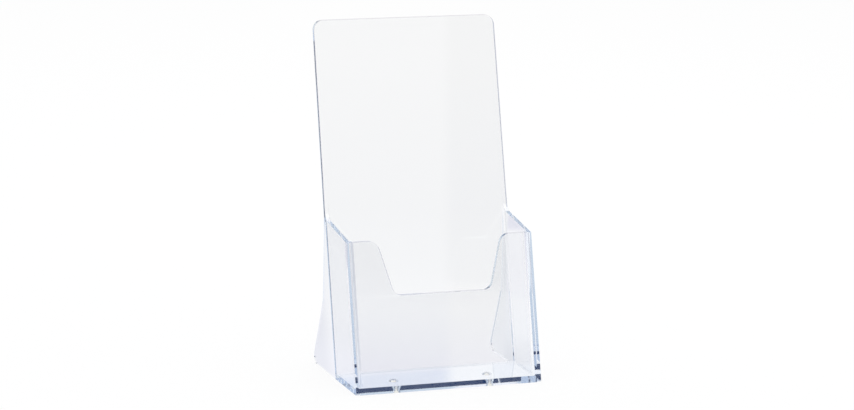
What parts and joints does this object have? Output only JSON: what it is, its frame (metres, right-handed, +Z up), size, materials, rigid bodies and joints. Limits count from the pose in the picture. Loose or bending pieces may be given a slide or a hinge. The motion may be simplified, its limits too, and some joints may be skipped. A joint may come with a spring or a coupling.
{
  "type": "brochure holder",
  "caption": "Clear counter-standing holder for slim leaflets: tall leaning back panel, front pocket with a finger cut-out, side walls with rear wings.",
  "frame": {"origin": "on the table under the middle of the outer box", "axes": "+Z up, the pocket's front faces -Y, +X to the right seen from the front"},
  "size_m": [0.1164, 0.0956, 0.207],
  "materials": {
    "panel_clear": "polished water-clear plastic with faintly blue edges",
    "front_clear": "polished water-clear plastic with faintly blue edges",
    "wall_clear": "polished water-clear plastic with blue edges",
    "floor_clear": "polished clear plastic, pale blue, with a dark navy front edge",
    "stud_clear": "polished clear moulded plastic"
  },
  "bodies": {
    "root": {"back_panel": "panel_clear", "front_plate": "front_clear", "side_wall_left": "wall_clear", "side_wall_right": "wall_clear", "pocket_floor": "floor_clear", "foot_stud_left": "stud_clear", "foot_stud_right": "stud_clear"}
  },
  "joints": []
}
